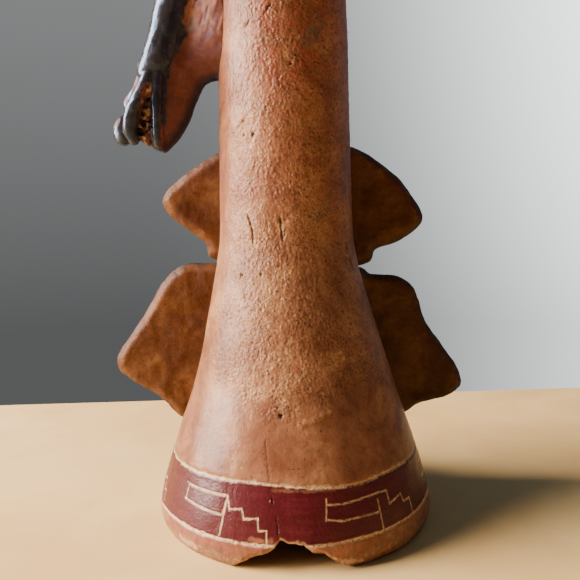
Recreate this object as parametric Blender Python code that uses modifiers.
"""Hand-built terracotta figure: hollow bell skirt, column body, four slab wings, two arms and a head.

Every clay piece that the maker forms on its own is an object of its own. Pieces that are pressed together
with slip keep LUTING_GAP between them. Lengths below are in millimetres; MM turns them to metres.
The figure stands on z = 0, faces -Y, and its left is the viewer's left, -X.
"""
import math

import bmesh
import bpy
from mathutils import Matrix, Vector

MM = 0.001

# ---------------------------------------------------------------- driving sizes, millimetres
LUTING_GAP = 0.33            # joint between two pieces that are pressed together
WALL = 5.5                   # wall of the hollow body
FOOT_FLAT = (38.4, 43.2)     # inner and outer radius of the flat ring that the figure stands on

# Outer outline of the skirt, (height, radius), from the foot to its joint with the column
SKIRT_OUTLINE = [(0.0, 43.2), (1.5, 44.4), (4.5, 45.0), (10.0, 44.1), (25.0, 39.6),
                 (45.0, 32.9), (70.0, 25.9), (86.0, 22.4), (96.0, 21.5)]
# Outer outline of the column, the shoulders and the neck
COLUMN_OUTLINE = [(96.3, 21.5), (125.0, 21.0), (166.0, 20.2), (192.0, 19.6), (203.0, 17.2),
                  (210.0, 11.6), (215.0, 9.6), (223.0, 9.2)]
SKIRT_FACETS, COLUMN_FACETS = 48, 40   # flat faces round each turned piece
NECK_BORE = 4.2              # radius of the vent through the neck
LEAN = -1.9                  # sideways offset of the column from the skirt's axis
LEAN_FROM, LEAN_TO = 42.0, 92.0   # heights between which the skirt leans over to it

# Broken stretch of the front rim, (x, z)
NOTCH = [(-18.5, -1.0), (-11.0, 4.8), (-6.5, 7.2), (-4.8, 9.2), (1.9, 8.4), (4.1, 6.4), (9.2, 4.1),
         (14.0, 1.0), (15.0, -1.0)]

WING_Y = 24.6                # middle of the wing slabs
WING_THICK = 5.6
WING_ROUND = 1.9             # rounding of the slab edges
UPPER_LEFT = [(-4.0, 121.5), (-20.0, 122.6), (-27.5, 121.2), (-38.5, 114.2), (-46.2, 107.0),
              (-46.2, 102.0), (-39.0, 95.2), (-31.5, 89.4), (-28.2, 82.9), (-4.0, 82.9)]
LOWER_LEFT = [(-12.0, 82.0), (-28.0, 82.1), (-41.0, 81.2), (-48.5, 73.8), (-55.9, 61.7),
              (-64.2, 50.6), (-65.3, 43.6), (-59.5, 38.3), (-50.5, 32.6), (-44.0, 25.2),
              (-38.0, 23.4), (-30.0, 26.0), (-20.5, 46.0), (-12.0, 66.0)]
UPPER_RIGHT = [(4.0, 121.5), (16.0, 124.2), (24.5, 122.2), (37.0, 113.6), (43.2, 106.9),
               (48.0, 98.2), (46.2, 93.4), (37.5, 88.6), (30.4, 86.1), (26.4, 80.6), (4.0, 80.6)]
LOWER_RIGHT = [(12.0, 79.6), (25.4, 79.6), (29.0, 77.0), (38.0, 76.4), (45.0, 71.0), (50.0, 58.0),
               (57.5, 47.6), (63.2, 36.4), (59.0, 31.6), (48.5, 28.6), (42.0, 24.6),
               (36.0, 23.8), (30.0, 26.0), (20.5, 46.0), (12.0, 66.0)]
SPINE = [(0.0, 26.0, 75.0), (-1.0, 25.2, 90.0), (-1.6, 25.0, 107.0), (-1.9, 24.8, 122.0)]
SPINE_RADII = [2.6, 3.1, 3.1, 2.5]

# Limbs: centre line points (x, y, z) and the radius at each
HANGING_ARM = [(-15.0, -0.4, 204.0), (-24.6, -1.4, 197.0), (-29.0, -2.4, 188.0), (-32.0, -3.2, 180.0), (-35.6, -4.0, 166.0),
               (-38.0, -4.4, 156.0), (-40.6, -4.6, 147.2)]
HANGING_ARM_RADII = [6.4, 6.9, 6.4, 5.8, 5.1, 5.3, 5.5]
WEB = [(-19.0, 200.0), (-19.0, 141.6), (-25.8, 140.6), (-34.6, 147.8), (-35.0, 160.0), (-31.0, 184.0)]
WEB_THICK = 6.4
PALM = [(-46.0, 145.8), (-47.2, 139.0), (-46.6, 131.0), (-44.8, 123.5), (-41.5, 119.6), (-38.0, 119.8),
        (-34.4, 125.2), (-30.6, 132.6), (-27.0, 139.2), (-35.2, 146.6)]
PALM_THICK = 9.0
HAND_Y = -4.6
HANGING_FINGERS = [
    [(-45.4, -8.6, 143.0), (-48.0, -9.4, 135.5), (-49.6, -9.2, 128.5), (-48.2, -8.4, 122.4)],
    [(-49.2, -4.4, 141.0), (-51.4, -4.8, 134.0), (-53.2, -4.8, 128.0), (-52.6, -4.4, 123.4)],
    [(-48.4, 0.2, 140.0), (-50.2, 0.2, 134.0), (-51.6, 0.0, 128.6), (-50.8, -0.2, 124.6)],
    [(-43.0, -10.6, 139.0), (-44.6, -11.6, 132.0), (-45.4, -11.4, 125.6), (-43.6, -10.6, 120.8)],
]
FINGER_RADII = [1.7, 2.3, 2.2, 1.2]

FOLDED_UPPER_ARM = [(11.2, -0.4, 204.0), (21.4, -0.8, 197.4), (27.0, -1.8, 190.0), (30.8, -3.8, 183.0), (32.6, -7.8, 176.6)]
FOLDED_UPPER_RADII = [6.4, 6.9, 6.5, 6.1, 5.6]
FOLDED_FOREARM = [(32.0, -12.0, 174.6), (25.0, -19.4, 177.6), (16.6, -23.6, 182.0), (9.4, -25.6, 186.2)]
FOLDED_FOREARM_RADII = [5.2, 5.4, 5.0, 4.4]
FOLDED_PALM = [(8.4, -26.2, 187.2), (4.2, -26.6, 189.4), (-1.6, -26.2, 191.8)]
FOLDED_PALM_RADII = [4.0, 4.7, 3.6]
FOLDED_FINGER_LENGTH = 9.5
FOLDED_FINGER_SPREAD = 2.5   # step from one finger to the next, across the palm
FOLDED_THUMB = [(3.4, -26.4, 194.4), (0.4, -25.6, 198.0), (-2.6, -24.0, 200.6)]

HEAD_CENTRE = (LEAN, -1.2, 245.5)
HEAD_RADII = (17.0, 18.4, 28.0)
HEAD_FACETS = (28, 18)       # flat faces round the head and from crown to chin
HAIR_THICK = 3.4
HAIRLINE_TILT = 24.0         # degrees that the hairline drops towards the nape
HAIRLINE_HEIGHT = 257.0      # height of the hairline over the middle of the head
BAND_HEIGHT, BAND_THICK = 6.4, 2.4
EYE = (6.4, 247.5)           # sideways place and height of an eye
EYE_RADII = (4.2, 2.0, 2.3)
NOSE_RADII = (3.0, 4.6, 7.6)
NOSE_HEIGHT = 241.4
MOUTH_HEIGHT = 231.6
MOUTH_HALF = 4.8
EAR_HEIGHT = 243.0
EAR_RADII = (2.4, 4.2, 7.2)
SPOOL_HEIGHT = 232.6
SPOOL_RADIUS, SPOOL_LENGTH = 4.2, 4.4
KNOT_CENTRE = (LEAN, 20.6, 259.0)
KNOT_RADII = (9.2, 7.4, 9.6)

# Clay finishes: sRGB colour and roughness
FINISHES = {
    "terracotta": ((0.64, 0.35, 0.21), 0.62),
    "burgundy_slip": ((0.38, 0.11, 0.11), 0.42),
    "black_slip": ((0.09, 0.09, 0.10), 0.30),
}


# ---------------------------------------------------------------- scene and materials
def clear_scene():
    """Remove every object that the open file holds."""
    for obj in list(bpy.data.objects):
        bpy.data.objects.remove(obj, do_unlink=True)


def new_collection(name):
    """Make a collection under the scene."""
    collection = bpy.data.collections.new(name)
    bpy.context.scene.collection.children.link(collection)
    return collection


def linear(channel):
    """Turn one sRGB channel to linear light."""
    return channel / 12.92 if channel <= 0.04045 else ((channel + 0.055) / 1.055) ** 2.4


def clay(piece_name, finish):
    """Make the clay material of one piece."""
    colour, roughness = FINISHES[finish]
    material = bpy.data.materials.new(f"{piece_name}_{finish}")
    material.use_nodes = True
    shader = material.node_tree.nodes["Principled BSDF"]
    shader.inputs["Base Color"].default_value = (*[linear(c) for c in colour], 1.0)
    shader.inputs["Roughness"].default_value = roughness
    shader.inputs["Metallic"].default_value = 0.0
    return material


def add_piece(name, mesh, finish, collection):
    """Make a named object with its own material, shaded smooth but for its sharp edges."""
    mesh.name = name
    mesh.materials.clear()
    mesh.materials.append(clay(name, finish))
    mesh.shade_smooth()
    mesh.set_sharp_from_angle(angle=math.radians(40.0))
    obj = bpy.data.objects.new(name, mesh)
    collection.objects.link(obj)
    return obj


# ---------------------------------------------------------------- shape helpers
def evaluated_mesh(obj, merge=0.01):
    """Return a welded copy of the object's evaluated mesh, in world space, and remove the object."""
    bpy.context.view_layer.update()
    depsgraph = bpy.context.evaluated_depsgraph_get()
    mesh = bpy.data.meshes.new_from_object(obj.evaluated_get(depsgraph))
    mesh.transform(obj.matrix_world)
    bpy.data.objects.remove(obj, do_unlink=True)
    form = bmesh.new()
    form.from_mesh(mesh)
    bmesh.ops.remove_doubles(form, verts=form.verts, dist=merge * MM)
    form.to_mesh(mesh)
    form.free()
    return mesh


def spline_through(points, steps):
    """Points on a smooth curve through the given points, steps of them for each span."""
    vectors = [Vector(p) for p in points]
    padded = [2 * vectors[0] - vectors[1], *vectors, 2 * vectors[-1] - vectors[-2]]
    path = []
    for i in range(1, len(padded) - 2):
        a, b, c, d = padded[i - 1:i + 3]
        for k in range(steps):
            t = k / steps
            path.append(0.5 * (2 * b + (c - a) * t + (2 * a - 5 * b + 4 * c - d) * t ** 2
                               + (3 * b - a - 3 * c + d) * t ** 3))
    path.append(vectors[-1])
    return path


def lean_at(height):
    """Sideways offset of the body's centre at a height."""
    t = min(1.0, max(0.0, (height - LEAN_FROM) / (LEAN_TO - LEAN_FROM)))
    return LEAN * t * t * (3.0 - 2.0 * t)


def turned(profile, segments):
    """Turn a closed (radius, height) profile, its outer side running down, and lean it."""
    form = bmesh.new()
    verts = [form.verts.new((r * MM, 0.0, z * MM)) for r, z in profile]
    for first, second in zip(verts, verts[1:] + verts[:1]):
        form.edges.new((first, second))
    mesh = bpy.data.meshes.new("profile")
    form.to_mesh(mesh)
    form.free()
    obj = bpy.data.objects.new("profile", mesh)
    bpy.context.scene.collection.objects.link(obj)
    screw = obj.modifiers.new("turn", 'SCREW')
    screw.steps = screw.render_steps = segments
    screw.use_merge_vertices = True
    screw.merge_threshold = 0.00002
    result = evaluated_mesh(obj)
    for vertex in result.vertices:
        vertex.co.x += lean_at(vertex.co.z / MM) * MM
    return result


def limb(points, radii, steps=4, resolution=3):
    """A round limb along a smooth centre line, with a radius for each given point."""
    path = spline_through(points, steps)
    widths = [v.x for v in spline_through([(r, 0.0, 0.0) for r in radii], steps)]
    curve = bpy.data.curves.new("limb", 'CURVE')
    curve.dimensions = '3D'
    curve.bevel_depth = MM
    curve.bevel_resolution = resolution
    curve.use_fill_caps = True
    spline = curve.splines.new('POLY')
    spline.points.add(len(path) - 1)
    for point, place, width in zip(spline.points, path, widths):
        point.co = (*(place * MM), 1.0)
        point.radius = width
    obj = bpy.data.objects.new("limb", curve)
    bpy.context.scene.collection.objects.link(obj)
    return evaluated_mesh(obj)


def slab(outline, thickness, rounding, middle_y, steps=3):
    """A rolled slab cut to an (x, z) outline, edges rounded, standing across Y at middle_y."""
    path = spline_through([(x, z, 0.0) for x, z in outline] + [(*outline[0], 0.0)], steps)[:-1]
    curve = bpy.data.curves.new("slab", 'CURVE')
    curve.dimensions = '2D'
    curve.fill_mode = 'BOTH'
    curve.extrude = (thickness / 2 - rounding) * MM
    curve.bevel_depth = rounding * MM
    curve.bevel_resolution = 1
    curve.offset = -rounding * MM
    spline = curve.splines.new('POLY')
    spline.points.add(len(path) - 1)
    spline.use_cyclic_u = True
    for point, place in zip(spline.points, path):
        point.co = (*(place * MM), 1.0)
    obj = bpy.data.objects.new("slab", curve)
    bpy.context.scene.collection.objects.link(obj)
    obj.matrix_world = Matrix.Translation((0.0, middle_y * MM, 0.0)) @ Matrix.Rotation(math.radians(90), 4, 'X')
    return evaluated_mesh(obj)


def pellet(centre, radii, segments=20, rings=12, tilt=0.0):
    """An egg-shaped lump of clay, tilted about X."""
    form = bmesh.new()
    scale = Matrix.Diagonal((*[r * MM for r in radii], 1.0))
    place = Matrix.Translation(Vector(centre) * MM) @ Matrix.Rotation(math.radians(tilt), 4, 'X') @ scale
    bmesh.ops.create_uvsphere(form, u_segments=segments, v_segments=rings, radius=1.0, matrix=place)
    mesh = bpy.data.meshes.new("pellet")
    form.to_mesh(mesh)
    form.free()
    return mesh


def block(low, high, tilt=0.0, pivot=(0.0, 0.0, 0.0)):
    """A box between two corners, tilted about X round a pivot."""
    form = bmesh.new()
    size = [b - a for a, b in zip(low, high)]
    middle = Vector([(a + b) / 2 for a, b in zip(low, high)]) - Vector(pivot)
    place = (Matrix.Translation(Vector(pivot) * MM) @ Matrix.Rotation(math.radians(tilt), 4, 'X')
             @ Matrix.Translation(middle * MM) @ Matrix.Diagonal((*[s * MM for s in size], 1.0)))
    bmesh.ops.create_cube(form, size=1.0, matrix=place)
    mesh = bpy.data.meshes.new("block")
    form.to_mesh(mesh)
    form.free()
    return mesh


class Workshop:
    """Holds the two collections and makes pieces and cutters in them."""

    def __init__(self):
        self.figure = new_collection("bell_figure")
        self.cutters = new_collection("cutters")

    def add(self, name, mesh, finish="terracotta"):
        """Add one clay piece."""
        return add_piece(name, mesh, finish, self.figure)

    def cutter(self, mesh, name="cutter"):
        """Add a shape that only cuts."""
        obj = bpy.data.objects.new(name, mesh)
        self.cutters.objects.link(obj)
        obj.display_type = 'WIRE'
        obj.hide_render = True
        return obj

    def grown(self, piece, gap=LUTING_GAP):
        """A cutter that stands the luting gap proud of a piece all round."""
        mesh = piece.data.copy()
        form = bmesh.new()
        form.from_mesh(mesh)
        form.normal_update()
        moves = [v.normal.copy() for v in form.verts]
        for vertex, normal in zip(form.verts, moves):
            vertex.co += normal * gap * MM
        form.to_mesh(mesh)
        form.free()
        return self.cutter(mesh, f"{piece.name}_clearance")

    def cut(self, piece, *cutters, operation='DIFFERENCE'):
        """Cut the piece by the cutters and keep the result as its mesh."""
        for cutter in cutters:
            modifier = piece.modifiers.new("cut", 'BOOLEAN')
            modifier.operation = operation
            modifier.solver = 'EXACT'
            modifier.object = cutter
            bpy.context.view_layer.update()
            depsgraph = bpy.context.evaluated_depsgraph_get()
            mesh = bpy.data.meshes.new_from_object(piece.evaluated_get(depsgraph))
            piece.modifiers.clear()
            form = bmesh.new()
            form.from_mesh(mesh)
            bmesh.ops.remove_doubles(form, verts=form.verts, dist=0.01 * MM)
            form.to_mesh(mesh)
            form.free()
            mesh.name = piece.name
            piece.data = mesh

    def fit_against(self, piece, *neighbours):
        """Cut the piece back so that it clears its neighbours by the luting gap."""
        self.cut(piece, *[self.grown(n) for n in neighbours])


# ---------------------------------------------------------------- body
def bell_skirt(shop):
    """Hollow flared skirt with a flat foot ring and a broken notch in its front rim."""
    outer = [(v.y, v.x) for v in spline_through([(z, r, 0.0) for z, r in SKIRT_OUTLINE], 2)]
    inner = [(r - WALL, z) for r, z in outer if z >= 6.0]
    foot = [(FOOT_FLAT[0], 0.0), (inner[0][0], 3.0)]
    mesh = turned(list(reversed(outer)) + foot + inner, SKIRT_FACETS)
    skirt = shop.add("bell_skirt", mesh)
    wedge = slab(NOTCH, 24.0, 0.1, -42.0, steps=1)
    shop.cut(skirt, shop.cutter(wedge, "rim_notch"))
    return skirt


def body_column(shop):
    """Hollow column that closes in to the shoulders and a vented neck, and its filled form as a cutter."""
    outer = [(v.y, v.x) for v in spline_through([(z, r, 0.0) for z, r in COLUMN_OUTLINE], 2)]
    inner = [(max(NECK_BORE, r - WALL), z) for r, z in outer]
    column = shop.add("body_column", turned(list(reversed(outer)) + inner, COLUMN_FACETS))
    core = [(0.0, outer[-1][1])] + [(r + LUTING_GAP, z) for r, z in reversed(outer)] + [(0.0, outer[0][1])]
    return column, shop.cutter(turned(core, COLUMN_FACETS), "column_core")


def wings(shop, body_parts):
    """Four slab wings behind the body and the coil that joins them down the back."""
    spine = shop.add("wing_spine", limb(SPINE, SPINE_RADII, steps=3, resolution=2))
    shop.fit_against(spine, *body_parts)
    outlines = {"upper_wing_left": UPPER_LEFT, "upper_wing_right": UPPER_RIGHT,
                "lower_wing_left": LOWER_LEFT, "lower_wing_right": LOWER_RIGHT}
    formed = [*body_parts, spine]
    for name, outline in outlines.items():
        wing = shop.add(name, slab(outline, WING_THICK, WING_ROUND, WING_Y))
        shop.fit_against(wing, *formed)
        formed.append(wing)


def hanging_arm(shop, core):
    """Black-slipped arm that hangs away from the body, its hand and the clay web behind it."""
    arm = shop.add("lowered_arm", limb(HANGING_ARM, HANGING_ARM_RADII), "black_slip")
    shop.cut(arm, core)
    palm = shop.add("lowered_palm", slab(PALM, PALM_THICK, 2.6, HAND_Y + 1.0, steps=2))
    shop.fit_against(palm, arm)
    web = shop.add("lowered_arm_web", slab(WEB, WEB_THICK, 1.2, HAND_Y + 2.0, steps=1))
    shop.cut(web, core)
    shop.fit_against(web, arm, palm)
    formed = [arm, palm]
    for number, points in enumerate(HANGING_FINGERS, start=1):
        finger = shop.add(f"lowered_finger_{number}", limb(points, FINGER_RADII, steps=3, resolution=2),
                          "black_slip")
        shop.fit_against(finger, *formed)
        formed.append(finger)


def folded_arm(shop, core):
    """The other arm, folded with its hand laid on the chest."""
    upper = shop.add("folded_upper_arm", limb(FOLDED_UPPER_ARM, FOLDED_UPPER_RADII), "black_slip")
    shop.cut(upper, core)
    forearm = shop.add("folded_forearm", limb(FOLDED_FOREARM, FOLDED_FOREARM_RADII), "black_slip")
    shop.cut(forearm, core)
    shop.fit_against(forearm, upper)
    palm = shop.add("folded_palm", limb(FOLDED_PALM, FOLDED_PALM_RADII), "black_slip")
    shop.cut(palm, core)
    shop.fit_against(palm, forearm)
    formed = [forearm, palm]
    reach = (Vector(FOLDED_PALM[-1]) - Vector(FOLDED_PALM[0])).normalized()
    across = reach.cross(Vector((0.0, 1.0, 0.0))).normalized()
    root = Vector(FOLDED_PALM[-1]) - reach * 1.5
    for number in range(4):
        start = root + across * FOLDED_FINGER_SPREAD * (number - 1.5)
        tip = start + reach * FOLDED_FINGER_LENGTH + Vector((0.0, 2.6, 0.0))
        middle = (start + tip) / 2 - Vector((0.0, 0.5, 0.0))
        finger = shop.add(f"folded_finger_{number + 1}",
                          limb([start, middle, tip], [1.5, 1.45, 0.9], steps=3, resolution=2), "black_slip")
        shop.cut(finger, core)
        shop.fit_against(finger, *formed)
        formed.append(finger)
    thumb = shop.add("folded_thumb", limb(FOLDED_THUMB, [1.7, 1.6, 0.9], steps=3, resolution=2),
                     "black_slip")
    shop.cut(thumb, core)
    shop.fit_against(thumb, *formed)


# ---------------------------------------------------------------- head
def head_with_features(shop, column):
    """Egg-shaped head on the neck, with features pressed on as pellets and rolls."""
    head = shop.add("head", pellet(HEAD_CENTRE, HEAD_RADII, *HEAD_FACETS), "black_slip")
    shop.fit_against(head, column)
    front = HEAD_CENTRE[1] - HEAD_RADII[1]
    nose = shop.add("nose", pellet((LEAN, front + 0.6, NOSE_HEIGHT), NOSE_RADII, 16, 10, tilt=-9.0),
                    "black_slip")
    shop.fit_against(nose, head)
    for side, name in ((-1, "left"), (1, "right")):
        place = (LEAN + side * EYE[0], front + 2.0, EYE[1])
        shop.fit_against(shop.add(f"eye_{name}", pellet(place, EYE_RADII, 14, 8)), head, nose)
        ear_x = LEAN + side * (HEAD_RADII[0] - 0.4)
        ear = shop.add(f"ear_{name}", pellet((ear_x, 0.0, EAR_HEIGHT), EAR_RADII, 14, 10), "black_slip")
        shop.fit_against(ear, head)
        shop.fit_against(ear_spool(shop, side, name), head, ear)
    for name, height, rise in (("upper_lip", 1.3, 0.5), ("lower_lip", -1.3, -0.5)):
        points = [(LEAN - MOUTH_HALF, front + 4.0, MOUTH_HEIGHT + height * 0.4),
                  (LEAN, front + 2.0, MOUTH_HEIGHT + height + rise),
                  (LEAN + MOUTH_HALF, front + 4.0, MOUTH_HEIGHT + height * 0.4)]
        lip = shop.add(name, limb(points, [0.7, 1.4, 0.7], steps=4, resolution=2), "burgundy_slip")
        shop.fit_against(lip, head, nose, *[p for p in shop.figure.objects if p.name == "upper_lip" and p != lip])
    return head


def ear_spool(shop, side, name):
    """Flanged clay spool through the ear lobe."""
    profile = [(0.0, SPOOL_LENGTH), (SPOOL_RADIUS - 0.6, SPOOL_LENGTH), (SPOOL_RADIUS, SPOOL_LENGTH - 0.7),
               (SPOOL_RADIUS, SPOOL_LENGTH - 1.6), (2.2, SPOOL_LENGTH - 2.2), (2.2, 0.0), (0.0, 0.0)]
    mesh = turned_plain(profile, 20)
    place = Vector((LEAN + side * (HEAD_RADII[0] - 2.6), -1.4, SPOOL_HEIGHT)) * MM
    mesh.transform(Matrix.Translation(place) @ Matrix.Rotation(math.radians(90.0 * side), 4, 'Y'))
    return shop.add(f"ear_spool_{name}", mesh, "burgundy_slip")


def turned_plain(profile, segments):
    """Turn an open (radius, height) profile that starts and ends on the axis."""
    form = bmesh.new()
    verts = [form.verts.new((r * MM, 0.0, z * MM)) for r, z in profile]
    for first, second in zip(verts, verts[1:]):
        form.edges.new((first, second))
    bmesh.ops.spin(form, geom=form.verts[:] + form.edges[:], cent=(0, 0, 0), axis=(0, 0, 1),
                   angle=math.tau, steps=segments, use_merge=True)
    bmesh.ops.remove_doubles(form, verts=form.verts, dist=0.01 * MM)
    bmesh.ops.recalc_face_normals(form, faces=form.faces)
    mesh = bpy.data.meshes.new("turned")
    form.to_mesh(mesh)
    form.free()
    return mesh


def headdress(shop, head):
    """Headband, hair cap and the knot of hair behind the crown."""
    pivot = (LEAN, HEAD_CENTRE[1], HAIRLINE_HEIGHT)
    half = BAND_HEIGHT / 2
    outer = [r + BAND_THICK for r in HEAD_RADII]
    band = shop.add("headband", pellet(HEAD_CENTRE, outer, *HEAD_FACETS), "burgundy_slip")
    keep = block((-40, -40, -half), (40, 40, half))
    keep.transform(Matrix.Translation(Vector(pivot) * MM) @ Matrix.Rotation(math.radians(-HAIRLINE_TILT), 4, 'X'))
    shop.cut(band, shop.cutter(keep, "band_zone"), operation='INTERSECT')
    shop.fit_against(band, head)
    crown = [r + HAIR_THICK for r in HEAD_RADII]
    cap = shop.add("hair_cap", pellet(HEAD_CENTRE, crown, *HEAD_FACETS), "black_slip")
    above = block((-60, -60, half - 0.4), (60, 60, 80))
    above.transform(Matrix.Translation(Vector(pivot) * MM) @ Matrix.Rotation(math.radians(-HAIRLINE_TILT), 4, 'X'))
    shop.cut(cap, shop.cutter(above, "hair_zone"), operation='INTERSECT')
    shop.fit_against(cap, head, band)
    knot = shop.add("hair_knot", pellet(KNOT_CENTRE, KNOT_RADII, 20, 12), "black_slip")
    shop.fit_against(knot, cap, head, band)
    ears = [p for p in shop.figure.objects if p.name in ("ear_left", "ear_right")]
    for ear in ears:
        shop.fit_against(ear, band, cap)


def build_figure():
    """Build the whole figure."""
    clear_scene()
    shop = Workshop()
    skirt = bell_skirt(shop)
    column, core = body_column(shop)
    wings(shop, (skirt, column))
    hanging_arm(shop, core)
    folded_arm(shop, core)
    head = head_with_features(shop, column)
    headdress(shop, head)


build_figure()
